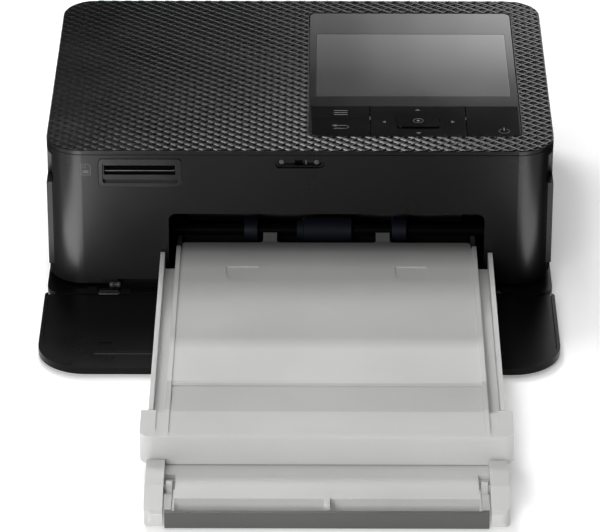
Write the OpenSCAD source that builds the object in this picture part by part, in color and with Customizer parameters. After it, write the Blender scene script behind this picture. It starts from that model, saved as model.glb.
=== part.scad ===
// Compact photo printer: shells, panel, print mechanism, ink cassette and paper cassette.
// Millimetres, +Z up. The origin is on the table, under the middle of the whole object.

/* [Body] */
// Width of the body
body_w = 182.2; // [181.6:0.1:183]
// Depth of the body
body_d = 133; // [132.6:0.1:134]
// Radius of the body's upright corners
corner_r = 13; // [12.4:0.1:13.4]
// Thickness of the outer shell
wall = 2.2; // [1.8:0.1:2.4]

/* [Control panel] */
// Width of the display window
window_w = 71.3; // [66:0.1:71.8]
// Depth of the display window
window_d = 55.6; // [50:0.1:56]
// Gap round each key
key_gap = 0.4; // [0.3:0.05:0.6]

/* [Front] */
// Width of the paper opening
opening_w = 113.6; // [112.8:0.1:114]
// Height of the top edge of the paper opening
opening_top = 32.6; // [31.5:0.1:33.5]
// Length of the front cover from its hinge edge to its free edge
cover_len = 56.2; // [54:0.1:57]
// Radius of the front cover's free corners
cover_r = 17.5; // [12:0.5:19]

/* [Print mechanism] */
// Gear module
gear_m = 0.8; // [0.8]
// Radius of the rubber pick-up rollers
pickup_r = 4.9; // [4.4:0.05:5]
// Radius of the platen roller
platen_r = 7; // [6:0.1:7]
// Number of blades on the fan
fan_blades = 7; // [5:1:9]

/* [Paper cassette] */
// Distance of the paper path's middle from the body's middle
path_x = 9.6; // [9.6]
// Radius of the upright corners of the cassette's hinge ears
ear_r = 3.4; // [1.5:0.1:3.6]

/* [Hidden] */
$fn = 48;
e = 0.01;
oy = 15.2;               // moves the front face plane so that the origin is under the middle
hw = body_w / 2;
cx = path_x;
top_z = 57.6;

// shaft positions as [y, z]
P_pick = [18.917, 16.6];
P_cap  = [35.714, 16.3];
P_idl  = [54.863, 14.9];
P_plat = [74.012, 13.5];
P_mot  = [59.863, 28.404];
P_pinch = [35.714, 23.2];
P_head = [112, 46.6];
P_sup  = [54, 31.35];
P_take = [92, 31.35];
door_ax = [87.4, 7.6];   // ink door hinge line as [x, z]
cov_ax = [-4.2, 2.4];    // front cover hinge line as [y, z]
pin_ax = [-148, 6];      // cassette lid hinge line as [y, z]
black = [0.055, 0.055, 0.06];
frost = [0.78, 0.79, 0.77];

module at() { translate([0, oy, 0]) children(); }
// rectangle with round corners: rf at the low y side, rb at the high y side
module rr(x0, y0, x1, y1, rf, rb) {
  m = (y0 + y1) / 2;
  translate([x0 + rf, y0]) square([x1 - x0 - 2 * rf, m - y0 + 1]);
  translate([x0, y0 + rf]) square([x1 - x0, m - y0 - rf + 1]);
  for (x = [x0 + rf, x1 - rf]) translate([x, y0 + rf]) circle(rf);
  translate([x0 + rb, m - 1]) square([x1 - x0 - 2 * rb, y1 - m + 1]);
  translate([x0, m - 1]) square([x1 - x0, y1 - m - rb + 1]);
  for (x = [x0 + rb, x1 - rb]) translate([x, y1 - rb]) circle(rb);
}
module slab(z0, z1) { translate([0, 0, z0]) linear_extrude(z1 - z0) children(); }
module box(a, b) { translate(a) cube([b[0] - a[0], b[1] - a[1], b[2] - a[2]]); }
// an x-z outline pushed along y from y0 to y1
module along_y(y0, y1) { translate([0, y1, 0]) rotate([90, 0, 0]) linear_extrude(y1 - y0) children(); }
// a y-z outline pushed along x from x0 to x1
module along_x(x0, x1) { translate([x0, 0, 0]) rotate([90, 0, 90]) linear_extrude(x1 - x0) children(); }
module rod(x0, x1, p, r) { translate([x0, p[0], p[1]]) rotate([0, 90, 0]) cylinder(h = x1 - x0, r = r); }
module ring_x(x0, x1, p, ro, ri) { difference() { rod(x0, x1, p, ro); rod(x0 - 1, x1 + 1, p, ri); } }
// both sides of the cassette, mirrored about the paper path's middle
module both() { children(); translate([2 * cx, 0, 0]) mirror([1, 0, 0]) children(); }

// spur gear outline, n teeth, a tooth centred on angle ph
module gear2d(n, ph) {
  rp = gear_m * n / 2; ro = rp + 0.78 * gear_m; ri = rp - 1.1 * gear_m; p = 360 / n;
  polygon([for (i = [0 : n - 1], k = [0 : 3])
    let (a = ph + i * p + [-0.25, -0.085, 0.085, 0.25][k] * p, r = (k == 0 || k == 3) ? ri : ro) [r * cos(a), r * sin(a)]]);
}
module gear(x0, x1, p, n, ph, bore) {
  difference() {
    translate([x0, p[0], p[1]]) rotate([90, 0, 90]) linear_extrude(x1 - x0) gear2d(n, ph);
    rod(x0 - 1, x1 + 1, p, bore);
  }
}
function dir(a, b) = atan2(b[1] - a[1], b[0] - a[0]);
// tooth phase of gear c that meshes with gear b (nb teeth, phase fb), direction t from b to c
function mesh(t, nb, fb, nc) =
  let (pb = 360 / nb, d = (t - fb) - pb * floor((t - fb) / pb)) t + 180 + d * nb / nc + 180 / nc;
f_cap = dir(P_cap, P_idl);
f_pick = mesh(dir(P_cap, P_pick), 24, f_cap, 18);
f_idl = mesh(dir(P_cap, P_idl), 24, f_cap, 24);
f_plat = mesh(dir(P_idl, P_plat), 24, f_idl, 24);
f_mot = mesh(dir(P_idl, P_mot), 24, f_idl, 12);
gx0 = -62.5; gx1 = -57.5;

// ---------------------------------------------------------------- shells
module shell_outline(i) { rr(-hw + i, i, hw - i, body_d - i, corner_r - i, corner_r - i); }
module main_shell() { color(black) at() difference() {
  slab(4.4, 56) shell_outline(0);
  slab(4, 57) shell_outline(wall);
  // paper opening with round upper corners, open at its foot
  along_y(-1, wall + 1) {
    translate([cx - opening_w / 2, 3]) square([opening_w, opening_top - 3 - 2.7]);
    translate([cx - opening_w / 2 + 2.7, 3]) square([opening_w - 5.4, opening_top - 3]);
    for (s = [-1, 1]) translate([cx + s * (opening_w / 2 - 2.7), opening_top - 2.7]) circle(2.7);
  }
  box([-66, -1, 4], [66, 3, 6.1]);                                   // raised lower edge
  along_y(-1, 3) pill(-72.1, 43.4, -42.15, 54.6, 1.8);                // card slot hole
  along_y(-1, 3) pill(-8.7, 50.8, 8.7, 54.5, 1.8);                   // latch hole
  box([80, 6.5, 4], [95, 101.3, 42.7]);                              // ink door
  box([-95, 6.5, 4.8], [-80, 101.3, 42.7]);                          // left panel
  box([-76.2, 130, 7.8], [76.2, 134, 52.2]);                         // rear panel
  difference() {                                                     // finger notches over the side doors
    for (s = [-1, 1]) box([s * 89.5 - 5.5, 5.5, 42.5], [s * 89.5 + 5.5, 13.5, 53.4]);
    slab(42, 54) shell_outline(1.5);
  }
} }
module pill(x0, y0, x1, y1, r) {
  translate([x0 + r, y0]) square([x1 - x0 - 2 * r, y1 - y0]);
  translate([x0, y0 + r]) square([x1 - x0, max(0.01, y1 - y0 - 2 * r)]);
  for (x = [x0 + r, x1 - r], y = [y0 + r, y1 - r]) translate([x, y]) circle(r);
}
module rear_panel() { color(black) at() difference() {
  box([-76, body_d - 2, 8], [76, body_d, 52]);
  box([cx - 53, 130, 18.6], [cx + 53, 134, 25.6]);                   // rear paper slot
  along_y(130, 134) pill(64.4, 7.99, 73.6, 17.2, 0.6);               // power inlet
  along_y(130, 134) pill(-35.2, 9.2, -24.8, 13.8, 1.2);              // usb port
  for (i = [0 : 5]) box([-72 + i * 4.6, 130, 29], [-69.8 + i * 4.6, 134, 47]);   // fan vents
} }
// flat front end of a side door, standing out from the shell's round corner
module door_nose(s, z0) { difference() {
  box([s * 89.5 - 1.6, 5.9, z0], [s * 89.5 + 1.6, 13.2, 42.4]);
  intersection() { slab(4, 45) shell_outline(-0.12); box([-100, 0, 0], [100, 6.75, 60]); }
  slab(4, 45) shell_outline(0.5);
} }
module left_side_panel() { color([0.16, 0.16, 0.17]) at() union() {
  intersection() {
    difference() { slab(5, 42.4) shell_outline(0); slab(4, 56) shell_outline(wall); }
    box([-95, 6.7, 5], [-80, 101.1, 43]);
  }
  door_nose(-1, 9.4);
} }
module ink_door() { color([0.09, 0.09, 0.1]) at() union() {
  intersection() {
    difference() { slab(6, 42.4) shell_outline(0); slab(4, 56) shell_outline(wall - 0.2); }
    box([80, 6.8, 6], [95, 101, 43]);
  }
  door_nose(1, 10.3);
  for (y = [20, 86]) difference() {                                  // hinge lugs
    box([85.6, y, 6], [89.4, y + 4, 9.6]);
    translate([door_ax[0], y - 1, door_ax[1]]) rotate([-90, 0, 0]) cylinder(h = 6, r = 1.05);
  }
} }
module ink_door_pins() { color("silver") at() for (y = [20, 86])
  translate([door_ax[0], y - 1.8, door_ax[1]]) rotate([-90, 0, 0]) cylinder(h = 7.6, r = 1); }
module top_cover() { color([0.07, 0.07, 0.075]) at() union() {
  difference() {
    slab(56.2, top_z) shell_outline(0);
    slab(55, 58) rr(3, 12, 80, 121.2, 3.1, 3.1);
  }
  difference() {
    slab(54, 56.3) rr(1, 10, 82, 123.2, 3, 3);
    slab(53, 57) rr(3, 12, 80, 121.2, 3.1, 3.1);
  }
  difference() {                                                     // ledge that carries the panel
    slab(54, 55.4) rr(1, 10, 82, 123.2, 3, 3);
    box([6, 46.5, 53], [76.7, 101.5, 56]);
    box([4.6, 13.6, 53], [78.4, 36.8, 56]);
  }
  difference() {                                                     // locating lip inside the shell
    slab(51.5, 56.3) rr(-hw + wall + 0.2, wall + 0.2, hw - wall - 0.2, body_d - wall - 0.2, corner_r - wall - 0.2, corner_r - wall - 0.2);
    slab(51, 57) rr(-hw + wall + 1.6, wall + 1.6, hw - wall - 1.6, body_d - wall - 1.6, corner_r - wall - 1.6, corner_r - wall - 1.6);
    box([-76, -1, 51], [14, 12, 56.2]);
  }
} }
module bottom_cover() { color([0.04, 0.04, 0.045]) at() difference() {
  union() {
    slab(1.4, 3.4) rr(-91.5, -5.6, 91.5, 131.5, 6, 12);
    difference() {                                                   // rim inside the shell
      slab(3.3, 9) rr(-88.6, 2.5, 88.6, 130.5, 10.5, 10.5);
      slab(3, 10) rr(-87.2, 3.9, 87.2, 129.1, 9.1, 9.1);
      box([cx - 60, -1, 3.4], [cx + 60, 8, 10]);
      box([83, 4, 3.4], [90, 102.5, 10]);
      box([62, 125, 3.4], [76, 133, 10]);
      box([-36, 125, 3.4], [-24, 133, 10]);
    }
    for (x = [-80, 80], y = [24, 116]) translate([x, y, 3.3]) cylinder(h = 8.7, r = 3.4);
    for (y = [18.4, 24.4, 84.4, 90.4]) {                               // ink door hinge ears, clear of the door's foot as it swings in
      box([82.6, y, 3.3], [85, y + 1.2, 9.2]); box([84.9, y, 6.2], [door_ax[0], y + 1.2, 9.2]);
      translate([door_ax[0], y, door_ax[1]]) rotate([-90, 0, 0]) cylinder(h = 1.2, r = 1.62);
    }
    for (s = [-1, 1]) for (k = [61, 73.4]) box([s > 0 ? k : -k - 3.6, -5.6, 1.4], [s > 0 ? k + 3.6 : -k, -2.4, 4.2]);
  }
  for (s = [-1, 1]) box([s * 69 - 3.8, -7, 1], [s * 69 + 3.8, -1.6, 5]);            // room for the cover's knuckles
  box([-64, 66, 2.7], [-56, 82, 3.6]);                                 // room under the platen gear
  for (x = [-80, 80], y = [24, 116]) { translate([x, y, 1]) cylinder(h = 1.8, r = 2.7); translate([x, y, 1]) cylinder(h = 9.5, r = 1.2); }
  for (s = [-1, 1]) rod(s * 69 - 7, s * 69 + 7, cov_ax, 1);
  for (y = [17, 83]) translate([door_ax[0], y, door_ax[1]]) rotate([-90, 0, 0]) cylinder(h = 10, r = 1);
} }
module rubber_feet() { color([0.1, 0.1, 0.1]) at() for (x = [-74, 74], y = [14, 122]) translate([x, y, 0]) cylinder(h = 1.4, r = 5); }
module case_screws() { color([0.3, 0.3, 0.32]) at() for (x = [-80, 80], y = [24, 116]) difference() {
  union() { translate([x, y, 1.5]) cylinder(h = 1.3, r = 2.6); translate([x, y, 2.7]) cylinder(h = 7.6, r = 1.2); }
  translate([x - 1.6, y - 0.3, 1]) cube([3.2, 0.6, 1]); translate([x - 0.3, y - 1.6, 1]) cube([0.6, 3.2, 1]);
} }

// ---------------------------------------------------------------- panel
wx0 = 41.35 - window_w / 2; wy0 = 74 - window_d / 2;
module control_panel() { color([0.02, 0.02, 0.022]) at() difference() {
  slab(55.4, 57.75) rr(3.4, 12.4, 79.6, 120.8, 2.8, 2.8);
  box([wx0, wy0, 55], [wx0 + window_w, wy0 + window_d, 59]);
  slab(55, 59) rr(3.9, 12.9, 79.1, 37.5, 2.2, 0.3);
} }
module display_window() { color([0.05, 0.055, 0.06]) at() box([wx0 + 0.05, wy0 + 0.05, 56.6], [wx0 + window_w - 0.05, wy0 + window_d - 0.05, 57.7]); }
module display_module() { color([0.45, 0.47, 0.5]) at() union() {
  box([6.4, 46.9, 51.4], [76.3, 101.1, 55.2]);
  box([8, 48, 55.2], [75, 100, 56.4]);
} }
module display_bracket() { color("silver") at() difference() {
  union() { box([2, 42, 50.2], [81, 106, 51.3]); for (x = [4, 79], y = [44, 104]) translate([x, y, 51.2]) cylinder(h = 2.8, r = 1.8); }
  box([16, 56, 50], [67, 92, 52]);
} }
module key_plate(x0, y0, x1, y1, z1) { slab(55.95, z1) rr(x0, y0, x1, y1, 0.6, 0.6); }
g = key_gap / 2;
module menu_key() { color([0.03, 0.03, 0.033]) at() union() {
  key_plate(4.1, 26.9 + g, 25.3 - g, 37.3, 57.75); translate([14.6, 32, 52.95]) cylinder(h = 3.1, r = 2); } }
module back_key() { color([0.03, 0.03, 0.033]) at() union() {
  slab(55.95, 57.75) rr(4.1, 13.1, 25.3 - g, 26.9 - g, 2, 0.6); translate([14.6, 20, 52.95]) cylinder(h = 3.1, r = 2); } }
module power_key() { color([0.03, 0.03, 0.033]) at() union() {
  slab(55.95, 57.75) rr(60.05 + g, 13.1, 78.9, 37.3, 2, 0.6); translate([69.4, 24, 52.95]) cylinder(h = 3.1, r = 2); } }
module direction_pad() { color([0.03, 0.03, 0.033]) at() difference() {
  union() { key_plate(25.3 + g, 13.1, 60.05 - g, 37.3, 57.75);
    for (p = [[42.7, 33.6], [42.7, 15.8], [29.6, 24.5], [55.8, 24.5]]) translate([p[0], p[1], 52.95]) cylinder(h = 3.1, r = 1.6); }
  slab(55, 59) rr(35.1 - 0.35, 19.6 - 0.35, 50.3 + 0.35, 29.4 + 0.35, 1.6, 1.6);
} }
module ok_key() { color([0.05, 0.05, 0.055]) at() union() {
  slab(55.95, 58.2) rr(35.1, 19.6, 50.3, 29.4, 1.3, 1.3); translate([42.7, 24.5, 52.95]) cylinder(h = 3.1, r = 2); } }
module key_board() { color([0.05, 0.3, 0.16]) at() union() {
  box([5.4, 14.2, 50.2], [77.6, 36.6, 51.8]);
  for (p = [[14.6, 32], [14.6, 20], [69.4, 24], [42.7, 24.5], [42.7, 33.6], [42.7, 15.8], [29.6, 24.5], [55.8, 24.5]])
    translate([p[0], p[1], 51.7]) cylinder(h = 0.6, r = 1.5);
} }

// ---------------------------------------------------------------- front details
module card_slot_surround() { color([0.1, 0.1, 0.105]) at() difference() {
  along_y(-0.2, 3.4) pill(-71.95, 43.55, -42.3, 54.45, 1.7);
  along_y(-1, 1.3) pill(-70.6, 44.9, -43.65, 53.1, 0.9);
  box([-70.1, -1, 47.6], [-44.6, 5, 51.3]);
} }
module card_reader() { color("silver") at() union() {
  difference() {
    box([-71.4, 3.5, 46.2], [-43.3, 36, 52.6]);
    box([-70.1, 2, 47.6], [-44.6, 33, 51.3]);
  }
  box([-69.8, 1.7, 48.8], [-44.9, 34, 49.2]);                        // tongue under the card
} }
module cover_latch() { color([0.03, 0.03, 0.03]) at() difference() {
  along_y(0.9, 5.6) pill(-8.5, 51, 8.5, 54.3, 1.6);
  along_y(0, 2.2) pill(-7.9, 51.5, 7.9, 53.8, 1.1);
  box([-1.8, 0, 51.5], [1, 4.6, 53.8]);
} }
module latch_contacts() { color("silver") at() union() {
  for (x = [-6.6, 5.9]) translate([x, 2.2, 52.65]) rotate([90, 0, 0]) cylinder(h = 0.7, r = 0.9);
  box([1.9, 1.5, 51.8], [2.5, 2.2, 53.5]);
} }
cy1 = -5.8; cy0 = cy1 - cover_len;
module front_cover() { color([0.03, 0.03, 0.033]) at() difference() {
  union() {
    slab(1.2, 2.9) rr(-92, cy0, 92, cy1, cover_r, 1.5);
    difference() {                                                   // raised rim
      slab(2.8, 3.7) rr(-92, cy0, 92, cy1, cover_r, 1.5);
      slab(2, 4) rr(-90.8, cy0 + 1.2, 90.8, cy1 + 8, cover_r - 1.2, 1);
    }
    along_x(-72, 72) polygon([[-50.2, 2.8], [-49.4, 3.5], [-48.6, 3.5], [-47.8, 2.8]]);   // latch ridge
    box([-71, -42.6, 2.8], [-66, -41.6, 3.25]);
    for (s = [-1, 1]) { rod(s * 69 - 3.4, s * 69 + 3.4, cov_ax, 1.9); box([s * 69 - 3.4, cy1 - 1, 1.2], [s * 69 + 3.4, cov_ax[0], 2.9]); }
  }
  for (s = [-1, 1]) rod(s * 69 - 6, s * 69 + 6, cov_ax, 1.05);
  for (s = [-1, 1]) box([s * 69 - 6, -8, -1], [s * 69 + 6, 0, 0.5 + e]);
} }
module front_hinge_pins() { color([0.1, 0.1, 0.1]) at() for (s = [-1, 1]) rod(s * 69 - 7, s * 69 + 7, cov_ax, 1); }

// ---------------------------------------------------------------- ink cassette
module ink_cassette() { color([0.13, 0.13, 0.14]) at() difference() {
  union() {
    for (p = [P_sup, P_take]) rod(-48, 82, p, 8.6);
    box([80, 54, 22.75], [82, 92, 39.95]);
    box([81.9, 62, 29], [86.4, 86, 31.4]);
  }
  for (p = [P_sup, P_take]) { rod(-46.4, 80.4, p, 7.4); rod(-50, 84, p, 3.05); }
  box([-46, 60, 20], [80, 88, 31]);
} }
module spool(p, r) {
  rod(-46, 80, p, r);
  difference() { rod(-51, 84, p, 3); box([-52, p[0] - 0.6, p[1] - 4], [-49, p[0] + 0.6, p[1] + 4]); }
}
module supply_spool() { color([0.12, 0.12, 0.2]) at() spool(P_sup, 7); }
module takeup_spool() { color([0.12, 0.12, 0.2]) at() spool(P_take, 4.8); }
module ink_ribbon() { color([0.1, 0.08, 0.2]) at() along_x(cx - 51, cx + 51)
  polygon([[61.3, 30.4], [61.6, 30.4], [69, 21.4], [81, 21.4], [86.4, 30.4], [86.7, 30.4], [81.2, 21.15], [68.8, 21.15]]); }

// ---------------------------------------------------------------- chassis and mechanism
module side_plate(x0, bay) { difference() {
  along_x(x0, x0 + 1.6) polygon([[9, 3.4], [118, 3.4], [118, 50], [106, 50], [106, 46], [9, 46]]);
  rod(x0 - 1, x0 + 3, P_pick, 2.05); rod(x0 - 1, x0 + 3, P_cap, 2.05); rod(x0 - 1, x0 + 3, P_plat, 2.55);
  rod(x0 - 1, x0 + 3, P_pinch, 1.55); rod(x0 - 1, x0 + 3, P_head, 1.5);
  if (bay > 0) { box([x0 - 1, 42, 20.7], [x0 + 3, 106, 47]); }
  if (bay < 1) { rod(x0 - 1, x0 + 3, P_sup, 4.5); rod(x0 - 1, x0 + 3, P_take, 4.5); rod(x0 - 1, x0 + 3, P_idl, 2); }
} }
module chassis_left() { color("silver") at() side_plate(-54, 0); }
module chassis_right() { color("silver") at() side_plate(70, 1); }
module chassis_crossbars() { color("silver") at() union() {
  box([-52.4, 9, 36], [70, 10.2, 45]); box([-52.4, 10, 43.8], [70, 18, 45]);
  box([-52.4, 116.6, 28], [70, 117.8, 44]);
} }
module paper_guide() { color([0.12, 0.12, 0.13]) at() union() {
  box([-50, 41, 19], [69, 66, 20]); box([-50, 82, 19], [69, 124, 20]);
  for (x = [-52.4, 67]) box([x, 41, 19], [x + 3, 124, 20]);
} }
module ink_bay_floor() { color("silver") at() difference() {
  box([-52.4, 42.4, 21.5], [70, 105.6, 22.6]);
  box([-48.5, 63.4, 20], [71, 84.6, 24]);
} }
module pickup_shaft() { color("silver") at() rod(-63, 72.5, P_pick, 2); }
module pickup_rollers() { color([0.08, 0.09, 0.12]) at() union() {
  ring_x(-20.4, -15.4, P_pick, pickup_r, 2); ring_x(33.4, 38.8, P_pick, pickup_r, 2);
  ring_x(1.2, 18.8, P_pick, pickup_r, 2); ring_x(-1.2, 1.3, P_pick, pickup_r - 1.2, 2);
} }
module pickup_gear() { color("white") at() gear(gx0, gx1, P_pick, 18, f_pick, 2); }
module capstan_roller() { color("silver") at() union() { rod(-63, 72.5, P_cap, 2); rod(cx - 50, cx + 50, P_cap, 3.9); } }
module capstan_gear() { color("white") at() gear(gx0, gx1, P_cap, 24, f_cap, 2); }
module pinch_roller() { color([0.1, 0.1, 0.1]) at() union() { rod(-55.5, 73, P_pinch, 1.5); rod(cx - 48, cx + 48, P_pinch, 2.4); } }
module platen_roller() { color([0.1, 0.1, 0.11]) at() union() { rod(-63, 72.5, P_plat, 2.5); rod(cx - 51.6, cx + 51.6, P_plat, platen_r); } }
module platen_gear() { color("white") at() gear(gx0, gx1, P_plat, 24, f_plat, 2.5); }
module idler_gear() { color("white") at() gear(gx0, gx1, P_idl, 24, f_idl, 2.05); }
module motor_pinion() { color("gold") at() union() { gear(gx0, gx1, P_mot, 12, f_mot, 1); rod(-68, gx1, P_mot, 1); } }
module drive_motor() { color([0.6, 0.6, 0.62]) at() difference() {
  union() { rod(-86, -68, P_mot, 11.5); rod(-68.1, -65.5, P_mot, 4);
    box([-68, 44, 3.4], [-66.6, 76, 42]); rod(-55.8, -52.6, P_idl, 2); rod(-66.7, -55.7, P_idl, 2); }
  rod(-69, -60, P_mot, 1.05);
} }
module head_arm() { color("silver") at() difference() {
  union() {
    box([cx - 54, 68, 46.6], [cx + 54, 112, 47.8]);
    for (x = [cx - 54, cx + 48]) rod(x, x + 6, P_head, 3);
  }
  rod(-60, 80, P_head, 1.55);
  box([cx - 47.9, 84, 40], [cx + 47.9, 120, 50]);
} }
module thermal_head() { color([0.7, 0.7, 0.68]) at() union() {
  box([cx - 51.5, 69.5, 25.4], [cx + 51.5, 71.2, 46.6]); box([cx - 51.5, 69.5, 44.8], [cx + 51.5, 78.5, 46.6]);
  for (i = [0 : 2]) box([cx - 51.5, 72.6 + i * 2.1, 25.6], [cx + 51.5, 73.6 + i * 2.1, 45]);
  box([cx - 51.5, 69.5, 24.3], [cx + 51.5, 78.5, 25.7]);
} }
module head_pivot() { color("silver") at() rod(-54, 71.6, P_head, 1.5); }
module main_board() { color([0.05, 0.3, 0.16]) at() union() {
  box([-86, 40, 47], [-57, 118, 48.6]);
  box([-80, 60, 48.5], [-66, 74, 50.4]); box([-78, 84, 48.5], [-70, 96, 50]); box([-84, 100, 48.5], [-60, 108, 51]);
  for (y = [44, 50]) translate([-63, y, 48.5]) cylinder(h = 3, r = 2);
} }
module fan_frame() { color([0.08, 0.08, 0.08]) at() difference() {
  box([-86, 120.5, 12], [-56, 128.7, 42]);
  translate([-71, 119, 27]) rotate([-90, 0, 0]) cylinder(h = 12, r = 13.9);
  for (x = [-83.5, -58.5], z = [14.5, 39.5]) translate([x, 119, z]) rotate([-90, 0, 0]) cylinder(h = 12, r = 1.4);
  box([-90, 125, 10], [-83.9, 133, 44]);
} union() { at() color([0.08, 0.08, 0.08]) { box([-84, 127.6, 26], [-57, 128.7, 28]); translate([-71, 127.6, 27]) rotate([-90, 0, 0]) cylinder(h = 1.1, r = 5);
  translate([-71, 123, 27]) rotate([-90, 0, 0]) cylinder(h = 5, r = 1); } } }
module fan_rotor() { color([0.1, 0.1, 0.1]) at() difference() {
  union() {
    translate([-71, 121, 27]) rotate([-90, 0, 0]) cylinder(h = 6.4, r = 6.5);
    for (i = [0 : fan_blades - 1]) translate([-71, 121.4, 27]) rotate([0, i * 360 / fan_blades, 0]) rotate([32, 0, 0]) box([5.8, -0.4, -2.8], [13, 0.4, 2.8]);
  }
  translate([-71, 122.9, 27]) rotate([-90, 0, 0]) cylinder(h = 6, r = 1.05);
} }
module power_inlet() { color([0.05, 0.05, 0.05]) at() difference() {
  union() { along_y(121, 132.4) pill(64.6, 8.2, 73.4, 17, 0.5); box([66, 121, 3.4], [72, 128, 8.4]); }
  translate([69, 122.5, 12.6]) rotate([-90, 0, 0]) cylinder(h = 12, r = 2.9);
} at() color("silver") translate([69, 122, 12.6]) rotate([-90, 0, 0]) cylinder(h = 8.5, r = 0.8); }
module usb_port() { color("silver") at() difference() {
  union() { along_y(122, 132.4) pill(-34.6, 9.8, -25.4, 13.2, 1.1); box([-34, 122, 3.4], [-26, 130, 10.5]); }
  along_y(124, 134) pill(-34.2, 10.2, -25.8, 12.8, 0.9);
} at() color([0.1, 0.1, 0.1]) box([-33, 123.5, 11.15], [-27, 131, 11.85]); }

// ---------------------------------------------------------------- paper cassette
// right-hand side walls of the base, mirrored for the left
module base_side() { intersection() { slab(0, 20) rr(cx - 59.8, -163.2, cx + 59.8, 31, ear_r, 0.05); union() {
  along_x(cx + 58.2, cx + 59.8) polygon([[-161.9, 0.5], [-163.2, 1.9], [-163.2, 5.6], [-162.2, 6.8], [-152, 9.8], [-135.2, 9.8], [-135.2, 6.9], [-131.4, 6.9], [-131.4, 15.9], [-115.4, 15.9], [-115.4, 17.7], [-1, 17.7], [-1, 5], [-106, 5], [-110, 1.6], [-140, 1.6], [-142, 0.5]]);
  along_x(cx + 53.6, cx + 54.8) polygon([[-162.4, 0.5], [-162.9, 5.5], [-162.1, 6.4], [-151.9, 9.4], [-135.2, 9.4], [-135.2, 6.9], [-126, 6.9], [-126, 1.6], [-140, 1.6], [-142, 0.5]]);
  box([cx + 53.6, -142, 1.6], [cx + 59.8, -110, 2.8]);                // foot plate
  box([cx + 53.6, -162.4, 0.5], [cx + 59.8, -141, 2.8]);
  along_x(cx + 53.6, cx + 59.8) polygon([[-163.2, 4.8], [-163.2, 5.6], [-162.2, 6.8], [-152, 9.8], [-135.2, 9.8], [-135.2, 8.8], [-152.1, 8.8], [-161.7, 5.9], [-162.1, 4.8]]);   // roof of the ear
  box([cx + 53.6, -163.2, 1.9], [cx + 59.8, -162, 5.6]);              // end of the ear
  box([cx + 52.7, -131, 5], [cx + 54.3, 30.5, 13.4]);                 // well wall
  box([cx + 52.7, -131, 13.3], [cx + 54.3, 8, 15.5]);
  box([cx + 54.2, -131, 10.8], [cx + 58.3, -3, 12]);                  // flange
  box([cx + 52.7, -126, 5], [cx + 59.8, -3, 6.2]);
} } }
module cassette_base() { color(frost) at() difference() {
  union() {
    both() base_side();
    box([cx - 53, -126, 5], [cx + 53, 30.5, 6.2]);                   // floor under the paper
    box([cx - 54.4, -140, 5], [cx + 54.4, -125, 7]);
    box([cx - 50, -154.4, 5], [cx + 50, -139, 7]);
    box([cx - 50, -155.4, 1.6], [cx + 50, -154.2, 7]);               // front lip
    along_x(cx - 53, cx + 53) polygon([[27.5, 6], [29.4, 11.4], [30.5, 11.4], [30.5, 6]]);
    box([cx - 53, -122.4, 6], [cx + 53, -121.2, 14]);                // front end of the paper well
    box([cx - 1, -161, 5], [cx + 1, -152, 7.4]);                     // middle rib
    box([cx - 54, -141, 1.6], [cx + 54, -139.5, 5.1]);
  }
  both() rod(cx + 50.4, cx + 60.5, pin_ax, 1.5);
  both() box([cx + 55.1, -151.4, 2.85], [cx + 57.9, -131.2, 8.8]);     // room for the inner lid's arms
} }
module cassette_pins() { color("silver") at() both() rod(cx + 50.7, cx + 59.8, pin_ax, 1.5); }
module cassette_inner_lid() { color(frost) at() difference() {
  union() {
    slab(15.8, 16.9) {                                               // top plate
      translate([cx - 54.2, -133]) square([108.4, 137]);
      rr(cx - 52.2, -100, cx + 52.2, 8.2, 0.1, 1.6);
      for (s = [-1, 1]) translate([cx + s * 20.5, 7.6]) {            // tabs between the pick-up rollers
        translate([-2.5, -1]) square([5, 9.6]);
        difference() { translate([-4, 0]) square([8, 2.1]); for (k = [-4, 4]) translate([k, 2.1]) circle(1.5); }
      }
    }
    both() box([cx + 52.6, -133, 16.8], [cx + 54.2, 4, 17.7]);       // side rims
    // front collar
    difference() {
      slab(7.3, 17.7) rr(cx - 62.2, -134, cx + 62.2, -80, 4.5, 1);
      slab(7, 16.3) rr(cx - 60.6, -132.4, cx + 60.6, -60, 2.9, 1);
      slab(16, 18) rr(cx - 60.6, -116, cx + 60.6, -60, 3, 1);
      box([cx - 70, -116, 0], [cx + 70, 0, 30]);
      slab(16.9, 18) rr(cx - 57, -131, cx + 57, -60, 3, 1);
    }
    both() difference() {                                            // hinge arms in the base's channels
      union() { rod(cx + 55.4, cx + 57.6, pin_ax, 2.4); box([cx + 55.4, -148, 4.2], [cx + 57.6, -132.4, 7.8]); box([cx + 55.4, -134, 7], [cx + 57.6, -132.3, 8.8]); }
    }
  }
  both() rod(cx + 54, cx + 59, pin_ax, 1.55);
  for (s = [-1, 1]) slab(16.5, 18) rr(cx + s * 30.2 - 5.7, -21.7, cx + s * 30.2 + 5.7, -10.6, 5.65, 0.4);   // thumb recesses
  slab(16.45, 18) rr(cx - 52.4, -114.6, cx + 52.4, -97.6, 4.5, 0.4);  // sunk panel
  box([cx - 52.6, -95.6, 16.75], [cx + 52.6, -94.8, 18]);            // fold line
} }
module cassette_outer_lid() { color([0.2, 0.2, 0.19]) at() difference() {
  union() {
    box([cx - 53, -163.4, 0.3], [cx + 53, -161.8, 6.3]);
    both() { box([cx + 50.7, -162, 3.6], [cx + 53, -148, 6.3]); rod(cx + 50.7, cx + 53, pin_ax, 2.9); }
  }
  both() rod(cx + 48, cx + 59, pin_ax, 1.55);
} }
module lift_plate() { color([0.1, 0.1, 0.1]) at() box([cx - 46, -30, 6.2], [cx + 46, 26, 6.6]); }

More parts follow.
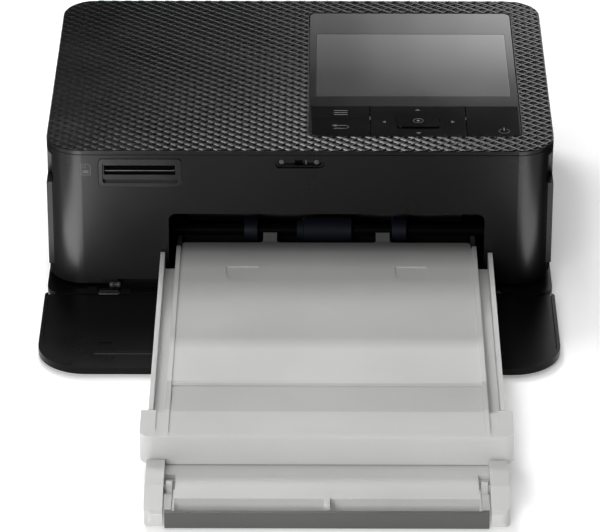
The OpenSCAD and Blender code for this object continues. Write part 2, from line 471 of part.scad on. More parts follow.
main_shell();
rear_panel();
left_side_panel();
top_cover();
bottom_cover();
rubber_feet();
case_screws();
control_panel();
display_window();
display_module();
display_bracket();
menu_key();
back_key();
direction_pad();
ok_key();
power_key();
key_board();
card_slot_surround();
card_reader();
cover_latch();
latch_contacts();
front_cover();
front_hinge_pins();
ink_door();
ink_door_pins();
ink_cassette();
supply_spool();
takeup_spool();
ink_ribbon();
chassis_left();
chassis_right();
chassis_crossbars();
paper_guide();
ink_bay_floor();
pickup_shaft();
pickup_rollers();
pickup_gear();
capstan_roller();
capstan_gear();
pinch_roller();
platen_roller();
platen_gear();
idler_gear();
motor_pinion();
drive_motor();
head_arm();
thermal_head();
head_pivot();
main_board();
fan_frame();
fan_rotor();
power_inlet();
usb_port();
cassette_base();
cassette_inner_lid();
cassette_outer_lid();
cassette_pins();
lift_plate();
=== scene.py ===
"""Looks of the compact photo printer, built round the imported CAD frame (metres, +Z up)."""
import math
import bmesh
import bpy
from mathutils import Matrix, Vector


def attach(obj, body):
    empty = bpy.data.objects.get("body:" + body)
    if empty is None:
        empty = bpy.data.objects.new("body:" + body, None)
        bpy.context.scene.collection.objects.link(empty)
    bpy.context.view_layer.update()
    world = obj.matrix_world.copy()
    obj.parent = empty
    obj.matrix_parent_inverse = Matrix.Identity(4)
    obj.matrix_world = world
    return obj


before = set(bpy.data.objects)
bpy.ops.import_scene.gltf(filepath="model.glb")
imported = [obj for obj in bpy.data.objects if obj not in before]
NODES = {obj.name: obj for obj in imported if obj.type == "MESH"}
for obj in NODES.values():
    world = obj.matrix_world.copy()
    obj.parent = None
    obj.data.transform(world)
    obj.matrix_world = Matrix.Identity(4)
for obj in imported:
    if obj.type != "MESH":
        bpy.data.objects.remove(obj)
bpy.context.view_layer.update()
SCENE = bpy.context.scene
OY = 15.2                      # part.scad's front face plane is this far behind the row's origin
CX = 9.6                       # middle of the paper path


def P(x, y, z):
    """A point of part.scad's design frame in millimetres, as a point of the row frame in metres."""
    return Vector((x / 1000.0, (y + OY) / 1000.0, z / 1000.0))


# ------------------------------------------------------------------ camera
def make_camera():
    data = bpy.data.cameras.new("photo_camera")
    data.sensor_fit = "HORIZONTAL"
    data.sensor_width = 36.0
    data.lens = 3909.37 * 36.0 / 600.0
    data.clip_start = 0.05
    data.clip_end = 20.0
    obj = bpy.data.objects.new("photo_camera", data)
    SCENE.collection.objects.link(obj)
    pitch, yaw = math.radians(27.5886), math.radians(-0.2791)
    fwd = Vector((math.sin(yaw) * math.cos(pitch), math.cos(yaw) * math.cos(pitch), -math.sin(pitch)))
    obj.matrix_world = fwd.to_track_quat("-Z", "Y").to_matrix().to_4x4()
    obj.location = P(6.155, -1253.215, 666.436)
    SCENE.camera = obj


# ------------------------------------------------------------------ materials
def new_material(name):
    m = bpy.data.materials.new(name)
    m.use_nodes = True
    nt = m.node_tree
    bsdf = next(n for n in nt.nodes if n.type == "BSDF_PRINCIPLED")
    return m, nt, bsdf


def coords(nt, stretch=(1, 1, 1)):
    tc = nt.nodes.new("ShaderNodeTexCoord")
    mp = nt.nodes.new("ShaderNodeMapping")
    mp.inputs["Scale"].default_value = stretch
    nt.links.new(tc.outputs["Object"], mp.inputs["Vector"])
    return mp.outputs["Vector"]


def noise(nt, vec, scale, detail=3.0, rough=0.55):
    n = nt.nodes.new("ShaderNodeTexNoise")
    n.inputs["Scale"].default_value = scale
    n.inputs["Detail"].default_value = detail
    n.inputs["Roughness"].default_value = rough
    nt.links.new(vec, n.inputs["Vector"])
    return n.outputs["Fac"]


def spread(nt, fac, lo, hi, a=0.3, b=0.7):
    r = nt.nodes.new("ShaderNodeMapRange")
    r.inputs["From Min"].default_value = a
    r.inputs["From Max"].default_value = b
    r.inputs["To Min"].default_value = lo
    r.inputs["To Max"].default_value = hi
    nt.links.new(fac, r.inputs["Value"])
    return r.outputs["Result"]


def ramp(nt, fac, c0, c1, a=0.3, b=0.7):
    r = nt.nodes.new("ShaderNodeValToRGB")
    r.color_ramp.elements[0].position = a
    r.color_ramp.elements[1].position = b
    r.color_ramp.elements[0].color = (*c0, 1)
    r.color_ramp.elements[1].color = (*c1, 1)
    nt.links.new(fac, r.inputs["Fac"])
    return r.outputs["Color"]


def bump(nt, height, strength, distance, under=None):
    b = nt.nodes.new("ShaderNodeBump")
    b.inputs["Strength"].default_value = strength
    b.inputs["Distance"].default_value = distance
    nt.links.new(height, b.inputs["Height"])
    if under is not None:
        nt.links.new(under, b.inputs["Normal"])
    return b.outputs["Normal"]


def surface(name, base, base2, rough, rough2, grain=2200.0, grain_depth=0.00002, grain_strength=0.35,
            broad=35.0, metallic=0.0, specular=0.5, ior=1.46, coat=0.0, coat_rough=0.05,
            stretch=(1, 1, 1), wave=0.0, aniso=0.0, transmission=0.0, subsurface=0.0, sss_scale=0.003):
    """Moulded or machined surface: broad drift of tone and gloss, fine grain in the normal."""
    m, nt, bsdf = new_material(name)
    vec = coords(nt, stretch)
    slow = noise(nt, vec, broad, 4.0, 0.5)
    fine = noise(nt, vec, grain, 2.0, 0.6)
    nt.links.new(ramp(nt, slow, base, base2), bsdf.inputs["Base Color"])
    nt.links.new(spread(nt, slow, rough, rough2), bsdf.inputs["Roughness"])
    normal = None
    if wave:
        normal = bump(nt, noise(nt, vec, 28.0, 1.0, 0.4), 1.0, wave)
    nt.links.new(bump(nt, fine, grain_strength, grain_depth, normal), bsdf.inputs["Normal"])
    bsdf.inputs["Metallic"].default_value = metallic
    bsdf.inputs["Specular IOR Level"].default_value = specular
    bsdf.inputs["IOR"].default_value = ior
    bsdf.inputs["Coat Weight"].default_value = coat
    bsdf.inputs["Coat Roughness"].default_value = coat_rough
    bsdf.inputs["Anisotropic"].default_value = aniso
    bsdf.inputs["Transmission Weight"].default_value = transmission
    bsdf.inputs["Subsurface Weight"].default_value = subsurface
    bsdf.inputs["Subsurface Scale"].default_value = sss_scale
    bsdf.inputs["Subsurface Radius"].default_value = (1.0, 1.0, 1.0)
    return m


def painted_shade_x(m, x0, x1, c0, c1, amount=1.0):
    """Multiplies the colour by painted light and shade across the part along x, in object space, under the noise:
    lighter at one side, darker at the other.
    """
    nt = m.node_tree
    bsdf = next(n for n in nt.nodes if n.type == "BSDF_PRINCIPLED")
    old = bsdf.inputs["Base Color"].links[0].from_socket
    tc = nt.nodes.new("ShaderNodeTexCoord")
    sep = nt.nodes.new("ShaderNodeSeparateXYZ")
    nt.links.new(tc.outputs["Object"], sep.inputs["Vector"])
    fac = spread(nt, sep.outputs["X"], 0.0, 1.0, x0, x1)
    col = ramp(nt, fac, c0, c1, 0.0, 1.0)
    mix = nt.nodes.new("ShaderNodeMix")
    mix.data_type = "RGBA"
    mix.blend_type = "MULTIPLY"
    mix.inputs["Factor"].default_value = amount
    nt.links.new(old, mix.inputs["A"])
    nt.links.new(col, mix.inputs["B"])
    nt.links.new(mix.outputs["Result"], bsdf.inputs["Base Color"])
    return m


def g(v, tint=0.0):
    return (v, v, v * (1 - tint))


MAT = {
    # The shell's colour carries painted light and shade across x: lighter at the left corner, darker towards the right.
    "shell": painted_shade_x(surface("satin_black_shell_painted_shade", g(0.009), g(0.011), 0.27, 0.32, grain=2600, grain_depth=0.000012, specular=0.22), -0.09, 0.05, g(1.0), g(0.25)),
    # The pit floors of the top relief take this darker, duller black: painted shade in the pits.
    "top": surface("satin_black_pits_painted_shade", g(0.0015), g(0.0025), 0.45, 0.55, grain=3000, grain_depth=0.00001, specular=0.10),
    "net": surface("satin_black_relief", g(0.003), g(0.005), 0.15, 0.20, grain=3000, grain_depth=0.000006, specular=0.26),
    "side": surface("side_panel_black", g(0.008), g(0.011), 0.40, 0.46, grain=2000, grain_depth=0.00002, specular=0.18),
    "panel": surface("gloss_black_panel", g(0.002), g(0.003), 0.10, 0.12, grain=900, grain_depth=0.000001, specular=0.32),
    "keys": surface("gloss_black_keys", g(0.0015), g(0.0025), 0.06, 0.09, grain=1200, grain_depth=0.000001, specular=0.30),
    "cover": surface("satin_black_cover", g(0.0018), g(0.0028), 0.26, 0.32, grain=1500, grain_depth=0.000006, specular=0.14),
    "dark": surface("matt_dark_plastic", g(0.005), g(0.008), 0.50, 0.62, grain=1600, grain_depth=0.00003),
    "base": surface("base_black", g(0.010), g(0.014), 0.46, 0.56, grain=1800, grain_depth=0.00003),
    "steel": surface("brushed_steel", g(0.42), g(0.56), 0.22, 0.34, grain=900, grain_depth=0.00001, metallic=1.0, stretch=(1, 12, 12), aniso=0.3),
    "alloy": surface("cast_alloy", g(0.38), g(0.50), 0.34, 0.46, grain=1500, grain_depth=0.00003, metallic=1.0),
    "rubber": surface("navy_rubber", (0.0018, 0.0022, 0.0056), (0.0036, 0.0043, 0.0088), 0.50, 0.66, grain=1800, grain_depth=0.00004, specular=0.14),
    "foot": surface("foot_rubber", g(0.012), g(0.020), 0.70, 0.85, grain=1500, grain_depth=0.00005),
    "nylon": surface("gear_nylon", (0.62, 0.61, 0.56), (0.74, 0.73, 0.68), 0.34, 0.44, subsurface=0.15),
    "brass": surface("pinion_brass", (0.62, 0.44, 0.16), (0.75, 0.55, 0.22), 0.24, 0.34, metallic=1.0),
    "circuit": surface("circuit_green", (0.010, 0.075, 0.035), (0.018, 0.110, 0.050), 0.34, 0.46, grain=700),
    "ribbon": surface("ribbon_film", (0.010, 0.008, 0.030), (0.022, 0.014, 0.050), 0.12, 0.22, grain=600),
    "spool": surface("spool_plastic", (0.020, 0.022, 0.060), (0.034, 0.038, 0.085), 0.34, 0.44),
    "ink_case": surface("ink_case_plastic", g(0.018), g(0.028), 0.38, 0.48),
    # Inner parts: near-black, partly their own black and partly painted shade of the dark inside of the body.
    "inner": surface("black_inner_painted_shade", g(0.0008), g(0.0015), 0.50, 0.62, grain=1400, grain_depth=0.00002, specular=0.05),
    "glass": surface("display_glass", g(0.020), g(0.024), 0.11, 0.125, grain=500, grain_depth=0.0000005, specular=0.62, ior=1.5),
    "slot_metal": surface("slot_metal", g(0.10), g(0.14), 0.34, 0.44, grain=900, grain_depth=0.00001, metallic=1.0),
    "rim": surface("slot_rim_black", g(0.003), g(0.005), 0.16, 0.22, grain=1500, grain_depth=0.000006, specular=0.5),
    "grey_part": surface("grey_hinge_plastic", g(0.022), g(0.034), 0.30, 0.40, grain=1500),
    "print_dim": surface("printed_dark_grey", g(0.03), g(0.045), 0.45, 0.52),
    # Chassis sides and hinge pins: steel painted near-black, painted shade of the dark inside and under the body.
    "steel_painted_shade": surface("steel_painted_shade", g(0.016), g(0.026), 0.28, 0.40, grain=900, grain_depth=0.00001, metallic=1.0, stretch=(1, 12, 12)),
    # Pickup shaft: steel painted black, painted shade of the dark inside of the body.
    "shaft": surface("shaft_painted_shade_black", g(0.001), g(0.002), 0.45, 0.55, grain=900, grain_depth=0.00001, specular=0.02, stretch=(1, 12, 12)),
    "print": surface("printed_grey", g(0.07), g(0.10), 0.45, 0.52),
}


def frosted(name, base, base2, rough, rough2, transmission, soft=0.2):
    """Frosted clear plastic: lightly scattering, with a fine matt texture."""
    m, nt, bsdf = new_material(name)
    vec = coords(nt)
    slow = noise(nt, vec, 22.0, 3.0, 0.5)
    fine = noise(nt, vec, 2600.0, 2.0, 0.6)
    nt.links.new(ramp(nt, slow, base, base2), bsdf.inputs["Base Color"])
    nt.links.new(spread(nt, slow, rough, rough2), bsdf.inputs["Roughness"])
    nt.links.new(bump(nt, fine, 0.3, 0.00002), bsdf.inputs["Normal"])
    bsdf.inputs["IOR"].default_value = 1.4
    bsdf.inputs["Transmission Weight"].default_value = transmission
    bsdf.inputs["Subsurface Weight"].default_value = soft
    bsdf.inputs["Subsurface Scale"].default_value = 0.003
    bsdf.inputs["Subsurface Radius"].default_value = (1.0, 1.0, 1.0)
    return m


def painted_light_shade_y(m, stops, gloss=False):
    """Multiplies the colour by painted light and shade that change along the part, from front to back: stops are
    (design y, tone); with gloss the specular level follows it too.
    """
    nt = m.node_tree
    bsdf = next(n for n in nt.nodes if n.type == "BSDF_PRINCIPLED")
    old = bsdf.inputs["Base Color"].links[0].from_socket
    tc = nt.nodes.new("ShaderNodeTexCoord")
    sep = nt.nodes.new("ShaderNodeSeparateXYZ")
    nt.links.new(tc.outputs["Object"], sep.inputs["Vector"])
    y0, y1 = stops[0][0], stops[-1][0]
    fac = spread(nt, sep.outputs["Y"], 0.0, 1.0, (y0 + OY) / 1000.0, (y1 + OY) / 1000.0)
    r = nt.nodes.new("ShaderNodeValToRGB")
    for y, v in stops[1:-1]:
        r.color_ramp.elements.new((y - y0) / (y1 - y0))
    for e, (y, v) in zip(r.color_ramp.elements, stops):
        e.position = (y - y0) / (y1 - y0)
        e.color = (v, v, v, 1)
    nt.links.new(fac, r.inputs["Fac"])
    mix = nt.nodes.new("ShaderNodeMix")
    mix.data_type = "RGBA"
    mix.blend_type = "MULTIPLY"
    mix.inputs["Factor"].default_value = 1.0
    nt.links.new(old, mix.inputs["A"])
    nt.links.new(r.outputs["Color"], mix.inputs["B"])
    nt.links.new(mix.outputs["Result"], bsdf.inputs["Base Color"])
    if gloss:
        nt.links.new(spread(nt, r.outputs["Color"], 0.0, 0.5, 0.0, 0.6), bsdf.inputs["Specular IOR Level"])
    return m


# Cassette base: painted shade darkening it towards the back, where it runs into the dark inside of the body; its gloss
# fades with it.
MAT["frost"] = painted_light_shade_y(frosted("frosted_clear", (0.62, 0.622, 0.615), (0.67, 0.672, 0.665), 0.28, 0.36, 0.12), [(-20.0, 1.0), (-4.0, 0.8), (4.0, 0.30), (12.0, 0.12), (24.0, 0.05), (26.5, 0.003), (31.0, 0.002)], gloss=True)
# Inner lid: painted light and shade along it: brighter bands at the front and middle, painted shade in the sunk panel
# and in a soft band behind it, and painted shade darkening its back end and tabs under the body.
MAT["lid_painted_light_shade"] = painted_light_shade_y(frosted("frosted_clear_lid_painted_light_shade", (0.55, 0.552, 0.545), (0.60, 0.602, 0.595), 0.28, 0.36, 0.12),
                          [(-116.0, 1.12), (-115.0, 0.94), (-96.5, 0.94), (-95.5, 1.22), (-72.0, 1.22), (-63.5, 0.87), (-55.0, 0.89), (-28.0, 0.89), (-12.0, 0.94), (0.0, 0.64), (8.5, 0.26), (9.5, 0.42), (17.0, 0.42)])
# Outer lid: frosted plastic with painted shade on its front strip, much darker than the frosted arms.
MAT["smoke"] = painted_light_shade_y(frosted("frosted_outer_lid_painted_shade", (0.55, 0.55, 0.535), (0.60, 0.60, 0.585), 0.34, 0.42, 0.10, 0.0), [(-164.0, 0.18), (-161.7, 0.18), (-161.2, 0.8), (-145.0, 0.95)])

LOOK = {
    "main_shell": "shell", "rear_panel": "base", "left_side_panel": "side", "top_cover": "shell", "bottom_cover": "cover",
    "rubber_feet": "foot", "case_screws": "steel", "control_panel": "panel", "display_window": "glass",
    "display_module": "alloy", "display_bracket": "steel", "menu_key": "keys", "back_key": "keys",
    "direction_pad": "keys", "ok_key": "keys", "power_key": "keys", "key_board": "circuit",
    "card_slot_surround": "rim", "card_reader": "slot_metal", "cover_latch": "panel", "latch_contacts": "slot_metal",
    "front_cover": "cover", "front_hinge_pins": "steel_painted_shade", "ink_door": "side", "ink_door_pins": "steel",
    "ink_cassette": "ink_case", "supply_spool": "spool", "takeup_spool": "spool", "ink_ribbon": "ribbon",
    "chassis_left": "steel_painted_shade", "chassis_right": "steel_painted_shade", "chassis_crossbars": "inner", "paper_guide": "inner",
    "ink_bay_floor": "inner", "pickup_shaft": "shaft", "pickup_rollers": "rubber", "pickup_gear": "nylon",
    "capstan_roller": "steel", "capstan_gear": "nylon", "pinch_roller": "rubber", "platen_roller": "rubber",
    "platen_gear": "nylon", "idler_gear": "nylon", "motor_pinion": "brass", "drive_motor": "alloy",
    "head_arm": "inner", "thermal_head": "inner", "head_pivot": "steel", "main_board": "circuit",
    "fan_frame": "dark", "fan_rotor": "dark", "power_inlet": "dark", "usb_port": "steel",
    "cassette_base": "frost", "cassette_inner_lid": "lid_painted_light_shade", "cassette_outer_lid": "smoke", "cassette_pins": "frost",
    "lift_plate": "inner",
}
ROUND = {            # edge rounding of each CAD node, in millimetres; others get 0.15
    "main_shell": 0.55, "top_cover": 0.5, "bottom_cover": 0.45, "rear_panel": 0.4, "left_side_panel": 0.4,
    "ink_door": 0.4, "control_panel": 0.3, "display_window": 0.12, "menu_key": 0.25, "back_key": 0.25,
    "direction_pad": 0.25, "ok_key": 0.35, "power_key": 0.25, "card_slot_surround": 0.5, "cover_latch": 0.25,
    "front_cover": 0.4, "cassette_base": 0.35, "cassette_inner_lid": 0.35, "cassette_outer_lid": 0.3,
    "rubber_feet": 0.4, "ink_cassette": 0.4, "pickup_rollers": 0.3, "ink_ribbon": 0.0,
}


def dress_cad():
    for name, obj in NODES.items():
        obj.data.materials.clear()
        obj.data.materials.append(MAT[LOOK[name]])
        r = ROUND.get(name, 0.15)
        w = obj.modifiers.new("weld", "WELD")
        w.merge_threshold = 0.000002
        if r:
            b = obj.modifiers.new("soft_edges", "BEVEL")
            b.width = r / 1000.0
            b.segments = 3
            b.limit_method = "ANGLE"
            b.angle_limit = math.radians(40)
            b.use_clamp_overlap = True
            b.miter_outer = "MITER_ARC"
        n = obj.modifiers.new("even_shading", "WEIGHTED_NORMAL")
        n.keep_sharp = True
        n.weight = 60


# ------------------------------------------------------------------ mesh helpers
def mesh_object(name, verts, faces, body, material, smooth=False):
    me = bpy.data.meshes.new(name)
    me.from_pydata([tuple(v) for v in verts], [], faces)
    me.update()
    if smooth:
        for p in me.polygons:
            p.use_smooth = True
    ob = bpy.data.objects.new(name, me)
    SCENE.collection.objects.link(ob)
    me.materials.append(material)
    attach(ob, body)
    return ob


def rounded_outline(x0, y0, x1, y1, rf, rb, seg=12):
    """Counter-clockwise outline of a rectangle with round corners, in design millimetres."""
    pts = []
    for cx, cy, r, a0 in ((x1 - rf, y0 + rf, rf, -90), (x1 - rb, y1 - rb, rb, 0), (x0 + rb, y1 - rb, rb, 90), (x0 + rf, y0 + rf, rf, 180)):
        for i in range(seg + 1):
            a = math.radians(a0 + 90.0 * i / seg)
            pts.append((cx + r * math.cos(a), cy + r * math.sin(a)))
    return pts


def clip(poly, a, b, keep_left=True):
    """Clips a polygon of (x, y, z) points by the line a-b; keeps its left or its right side."""
    ax, ay = a
    nx, ny = -(b[1] - ay), b[0] - ax
    if not keep_left:
        nx, ny = -nx, -ny
    d = [(p[0] - ax) * nx + (p[1] - ay) * ny for p in poly]
    out = []
    for i, p in enumerate(poly):
        q, dp, dq = poly[(i + 1) % len(poly)], d[i], d[(i + 1) % len(poly)]
        if dp >= 0:
            out.append(p)
        if (dp >= 0) != (dq >= 0):
            t = dp / (dp - dq)
            out.append(tuple(p[k] + t * (q[k] - p[k]) for k in range(3)))
    return out


def area2(poly):
    return abs(sum(poly[i][0] * poly[(i + 1) % len(poly)][1] - poly[(i + 1) % len(poly)][0] * poly[i][1] for i in range(len(poly))))


def inside_fast(poly, x0, y0, x1, y1):
    return all(x0 < p[0] < x1 and y0 < p[1] < y1 for p in poly)


def relief():
    """The net of fine ridges over the top plate, cut to its outline and round the panel; its pit floors take a darker
    black, painted shade in the pits.
    """
    hx, hy, base, top = 2.575, 2.1, 57.62, 57.9
    outer = rounded_outline(-90.7, 0.4, 90.7, 132.6, 12.6, 12.6)
    hole = rounded_outline(2.7, 11.7, 80.3, 121.5, 3.4, 3.4, 4)
    polys = []
    for j in range(-1, 66):
        for i in range(-37, 38):
            if (i + j) % 2:
                continue
            cx, cy = i * hx, j * hy

            def ring(s, z):
                return [(cx + hx * s, cy, z), (cx, cy + hy * s, z), (cx - hx * s, cy, z), (cx, cy - hy * s, z)]
            rings = [ring(1.0, top), ring(0.84, top - 0.02), ring(0.58, top - 0.13), ring(0.44, base)]
            pits = [ring(0.44, base)]
            quads = [pits[0][:]]
            for k in range(4):
                n = (k + 1) % 4
                for ra, rb in zip(rings, rings[1:]):
                    quads.append([ra[k], ra[n], rb[n], rb[k]])
            for q in quads:
                if not inside_fast(q, -77, 13.5, 77, 119.5) and not inside_fast(q, -89, 14, 89, 118):
                    for a, b in zip(outer, outer[1:] + outer[:1]):
                        if (a[0] - b[0]) ** 2 + (a[1] - b[1]) ** 2 > 1e-9:
                            q = clip(q, a, b)
                            if len(q) < 3:
                                break
                if len(q) < 3:
                    continue
                if inside_fast(q, 6, 15, 77, 118):
                    continue
                if not (all(p[0] < 2.5 for p in q) or all(p[0] > 80.5 for p in q) or all(p[1] < 11.5 for p in q) or all(p[1] > 121.7 for p in q)):
                    rest = q
                    for a, b in zip(hole, hole[1:] + hole[:1]):
                        if (a[0] - b[0]) ** 2 + (a[1] - b[1]) ** 2 < 1e-9:
                            continue
                        out = clip(rest, a, b, keep_left=False)
                        if len(out) > 2 and area2(out) > 1e-4:
                            polys.append(out)
                        rest = clip(rest, a, b)
                        if len(rest) < 3:
                            break
                    continue
                if area2(q) > 1e-4:
                    polys.append(q)
    verts, faces, index = [], [], {}
    for q in polys:
        f = []
        for p in q:
            key = (round(p[0], 3), round(p[1], 3), round(p[2], 3))
            if key not in index:
                index[key] = len(verts)
                verts.append(P(*p))
            if index[key] not in f:
                f.append(index[key])
        if len(f) > 2:
            faces.append(f)
    ob = mesh_object("top_relief", verts, faces, "printer", MAT["net"])
    # Second slot: the darker black of the pit floors, painted shade in the pits.
    ob.data.materials.append(MAT["top"])
    for poly in ob.data.polygons:
        if all(ob.data.vertices[v].co.z < 0.057625 for v in poly.vertices):
            poly.material_index = 1
    bm = bmesh.new()
    bm.from_mesh(ob.data)
    edges = [e for e in bm.edges if len(e.link_faces) == 1 and max(v.co.z for v in e.verts) > 0.05757]   # skirts down to the plate
    made = bmesh.ops.extrude_edge_only(bm, edges=edges)["geom"]
    for v in made:
        if isinstance(v, bmesh.types.BMVert):
            v.co.z = 0.05755
    bm.normal_update()
    bm.to_mesh(ob.data)
    bm.free()
    return ob


# ------------------------------------------------------------------ printed marks and small parts
def flat_piece(name, outlines, z, thick, body, material):
    """Thin raised print: closed 2-D outlines in design millimetres, on top of height z."""
    verts, faces = [], []
    for pts in outlines:
        n, at = len(pts), len(verts)
        verts += [P(x, y, z + thick) for x, y in pts] + [P(x, y, z) for x, y in pts]
        faces.append(list(range(at, at + n)))
        faces += [[at + i, at + n + i, at + n + (i + 1) % n, at + (i + 1) % n] for i in range(n)]
    return mesh_object(name, verts, faces, body, material)


def stroke(path, w, closed=False):
    """Quads along a 2-D path, each a little wider than its neighbour's end so that joints close."""
    out = []
    pts = list(path) + ([path[0]] if closed else [])
    for a, b in zip(pts, pts[1:]):
        d = Vector((b[0] - a[0], b[1] - a[1])).normalized()
        nx, ny = -d.y * w / 2, d.x * w / 2
        ex, ey = d.x * w * 0.22, d.y * w * 0.22
        out.append([(a[0] - nx - ex, a[1] - ny - ey), (b[0] - nx + ex, b[1] - ny + ey), (b[0] + nx + ex, b[1] + ny + ey), (a[0] + nx - ex, a[1] + ny - ey)])
    return out


def arc(cx, cy, r, a0, a1, n=16, sy=1.0):
    return [(cx + r * math.cos(math.radians(a0 + (a1 - a0) * i / n)), cy + r * sy * math.sin(math.radians(a0 + (a1 - a0) * i / n))) for i in range(n + 1)]


def printed_marks():
    top, ink = 57.752, MAT["print"]
    # menu: three bars; back: a U-turn arrow; direction pad: four arrowheads; power: the common symbol
    flat_piece("mark_menu", [rounded_outline(12.2, y, 17.2, y + 0.45, 0.18, 0.18, 3) for y in (30.2, 31.9, 33.6)], top, 0.02, "menu_key", ink)
    u = [(12.6, 21.3), (16.2, 21.3)] + arc(16.2, 20.1, 1.2, 90, -90, 10) + [(12.2, 18.9)]
    flat_piece("mark_back", stroke(u, 0.42) + [[(11.4, 21.3), (13.1, 20.3), (13.1, 22.3)]], top, 0.02, "back_key", ink)
    heads = []
    for x, y, dx, dy in ((42.7, 34.4, 0, 1), (42.7, 15.2, 0, -1), (30.4, 24.4, -1, 0), (55.2, 24.4, 1, 0)):
        px, py = -dy, dx
        heads.append([(x + dx * 0.85, y + dy * 0.85), (x - dx * 0.55 + px * 1.05, y - dy * 0.55 + py * 1.05), (x - dx * 0.55 - px * 1.05, y - dy * 0.55 - py * 1.05)])
    for h in heads:
        if (h[1][0] - h[0][0]) * (h[2][1] - h[0][1]) - (h[1][1] - h[0][1]) * (h[2][0] - h[0][0]) < 0:
            h.reverse()
    flat_piece("mark_arrows", heads, top, 0.02, "direction_pad", MAT["print_dim"])
    dot = arc(42.7, 24.5, 0.62, 0, 360, 20)[:-1]
    flat_piece("mark_select", stroke(arc(42.7, 24.5, 1.75, 0, 360, 28)[:-1], 0.36, True) + [dot], 58.202, 0.02, "ok_key", ink)
    p = stroke(arc(73.5, 16.9, 1.85, 125, 415, 26), 0.42) + stroke([(73.5, 17.3), (73.5, 19.6)], 0.42)
    flat_piece("mark_power", p, top, 0.02, "power_key", ink)
    # memory card outline beside the slot, on the front face
    verts, faces = [], []

    def plate(q):
        at = len(verts)
        for x, z in q:
            verts.append(P(x, -0.03, z))
        for x, z in q:
            verts.append(P(x, 0.02, z))
        n = len(q)
        faces.append(list(range(at, at + n)))
        faces.extend([[at + i, at + (i + 1) % n, at + n + (i + 1) % n, at + n + i] for i in range(n)])
    card = [(-78.2, 48.1), (-74.9, 48.1), (-74.9, 51.6), (-75.8, 52.4), (-78.2, 52.4)]
    for q in stroke(card, 0.26, True):
        plate(q)
    for x in (-77.5, -76.7):
        plate([(x - 0.13, 50.8), (x + 0.13, 50.8), (x + 0.13, 51.9), (x - 0.13, 51.9)])
    plate([(-77.6, 48.8), (-75.5, 48.8), (-75.5, 50.0), (-77.6, 50.0)])
    mesh_object("mark_card", verts, faces, "printer", MAT["print_dim"])


def lathe_x(name, profile, centre, body, material, seg=40):
    """A turned part about an axis along x: profile is [(x, r)] in design millimetres, closed by its own ends."""
    verts, faces = [], []
    n = len(profile)
    for i in range(seg):
        a = 2 * math.pi * i / seg
        for x, r in profile:
            verts.append(P(x, centre[0] + r * math.cos(a), centre[1] + r * math.sin(a)))
    for i in range(seg):
        k = (i + 1) % seg
        for j in range(n - 1):
            faces.append([i * n + j, k * n + j, k * n + j + 1, i * n + j + 1])
    faces.append([i * n for i in range(seg)][::-1])
    faces.append([i * n + n - 1 for i in range(seg)])
    ob = mesh_object(name, verts, faces, body, material)
    bm = bmesh.new()
    bm.from_mesh(ob.data)
    bmesh.ops.remove_doubles(bm, verts=bm.verts, dist=1e-7)
    bmesh.ops.recalc_face_normals(bm, faces=bm.faces)
    bm.to_mesh(ob.data)
    bm.free()
    for p in ob.data.polygons:
        p.use_smooth = len(p.vertices) == 4
    return ob


def small_parts():
    # end of the front cover's hinge barrel, seen in the gap under the body
    lathe_x("hinge_barrel_left", [(-69.0, 0), (-69.0, 0.8), (-68.6, 1.05), (-67.2, 1.05), (-67.0, 0.75), (-66.6, 0.75), (-66.4, 1.05), (-65.2, 1.05), (-64.9, 0.8), (-64.9, 0)],
            (-1.35, 4.55), "printer", MAT["grey_part"])


# ------------------------------------------------------------------ floor and light
def make_floor():
    me = bpy.data.meshes.new("floor")
    s = 3.0
    me.from_pydata([(-s, -s, 0), (s, -s, 0), (s, s, 0), (-s, s, 0)], [], [(0, 1, 2, 3)])
    ob = bpy.data.objects.new("floor", me)
    SCENE.collection.objects.link(ob)
    m, nt, bsdf = new_material("pale_floor")
    bsdf.inputs["Base Color"].default_value = (0.93, 0.93, 0.93, 1)
    bsdf.inputs["Roughness"].default_value = 0.9
    bsdf.inputs["Specular IOR Level"].default_value = 0.1
    bsdf.inputs["Emission Color"].default_value = (1, 1, 1, 1)
    bsdf.inputs["Emission Strength"].default_value = 0.25
    me.materials.append(m)


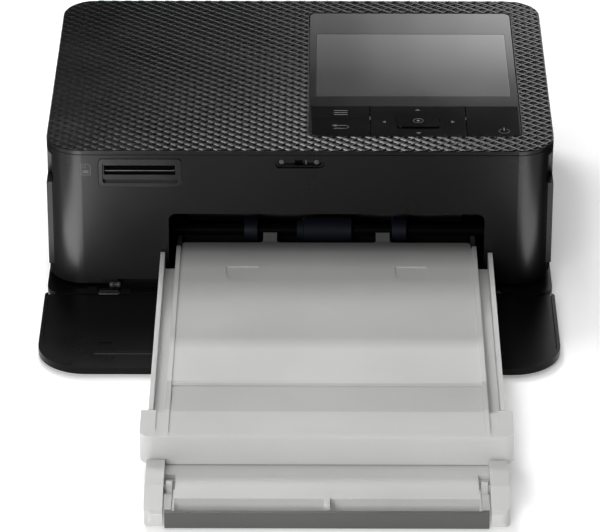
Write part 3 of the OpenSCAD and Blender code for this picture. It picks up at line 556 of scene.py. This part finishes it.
def flag(name, x0, y0, x1, y1):
    """Black card on the floor beside the printer, only for the gloss on its sides."""
    me = bpy.data.meshes.new(name)
    me.from_pydata([(x0, y0, 0.001), (x1, y0, 0.001), (x1, y1, 0.001), (x0, y1, 0.001)], [], [(0, 1, 2, 3)])
    ob = bpy.data.objects.new(name, me)
    SCENE.collection.objects.link(ob)
    m, nt, bsdf = new_material(name)
    bsdf.inputs["Base Color"].default_value = (0.01, 0.01, 0.01, 1)
    bsdf.inputs["Specular IOR Level"].default_value = 0.0
    me.materials.append(m)
    ob.visible_camera = ob.visible_diffuse = ob.visible_shadow = ob.visible_transmission = False


def softbox(name, where, at, size, power, tone=(1, 1, 1)):
    data = bpy.data.lights.new(name, "AREA")
    data.shape = "RECTANGLE"
    data.size, data.size_y = size
    data.energy = power
    data.color = tone
    ob = bpy.data.objects.new(name, data)
    SCENE.collection.objects.link(ob)
    ob.location = where
    ob.rotation_euler = (Vector(at) - Vector(where)).to_track_quat("-Z", "Y").to_euler()
    return ob


def make_light():
    SCENE.view_settings.view_transform = "Standard"
    world = bpy.data.worlds.new("studio")
    world.use_nodes = True
    bg = world.node_tree.nodes["Background"]
    bg.inputs["Color"].default_value = (1, 1, 1, 1)
    bg.inputs["Strength"].default_value = 0.05
    SCENE.world = world
    softbox("top_light", (-0.15, 0.05, 1.5), (0, -0.02, 0), (1.3, 1.3), 9.5)
    softbox("key_light", (-0.12, 0.37, 0.55), (0.05, 0.02, 0.05), (0.20, 0.20), 2.0)
    softbox("front_fill", (-0.6, -1.85, 0.78), (0, -0.1, 0.02), (1.1, 0.8), 28.0)
    for i, x in enumerate((0.27, 0.31, 0.35, 0.39)):
        softbox("panel_light_%d" % i, (x, 1.62 + 0.01 * i, 0.545), (x, 0.0, 0.545), (0.45, 0.435), 0.47)
    softbox("panel_light_wide", (0.28, 1.68, 0.545), (0.28, 0.0, 0.545), (0.74, 0.435), 1.5)
    for name, x, y, size, power in (("left_card", -0.106, -0.0525, (0.044, 0.115), 0.15), ("right_card", 0.112, -0.0525, (0.042, 0.115), 0.095)):
        card = softbox(name, (x, y, 0.006), (x, y, 1.0), size, power)
        card.visible_camera = False


make_camera()
make_floor()
flag("flag_left", -0.34, 0.0, -0.0935, 0.20)
flag("flag_right", 0.0935, 0.0, 0.34, 0.20)
make_light()
dress_cad()
relief()
printed_marks()
small_parts()
